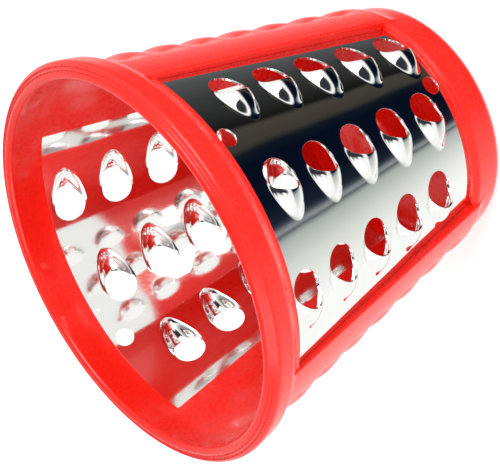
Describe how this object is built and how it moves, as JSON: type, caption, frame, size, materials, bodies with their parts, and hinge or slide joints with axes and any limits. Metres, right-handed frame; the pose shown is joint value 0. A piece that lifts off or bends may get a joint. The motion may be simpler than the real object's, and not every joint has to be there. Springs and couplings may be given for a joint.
{
  "type": "grating drum",
  "caption": "Tapered grating drum of a rotary cheese grater: red plastic frame with a wide open mouth, fluted ribs and a drive socket, holding polished steel panels with raised scoops.",
  "frame": {"origin": "centre of the ring that the drum stands on, at its closed drive end", "axes": "+Z along the drum's own axis, out of the open mouth; the front grating panel faces -Y, the rear one +Y, and the two ribs lie at +X and -X"},
  "size_m": [0.09, 0.09, 0.0829],
  "materials": {
    "red_plastic": "glossy moulded plastic",
    "polished_steel": "mirror-polished stainless steel"
  },
  "bodies": {
    "root": {"mouth_ring": "red_plastic", "rib_right": "red_plastic", "rib_left": "red_plastic", "drive_end": "red_plastic", "drive_hub": "red_plastic", "front_panel": "polished_steel", "rear_panel": "polished_steel"}
  },
  "joints": []
}
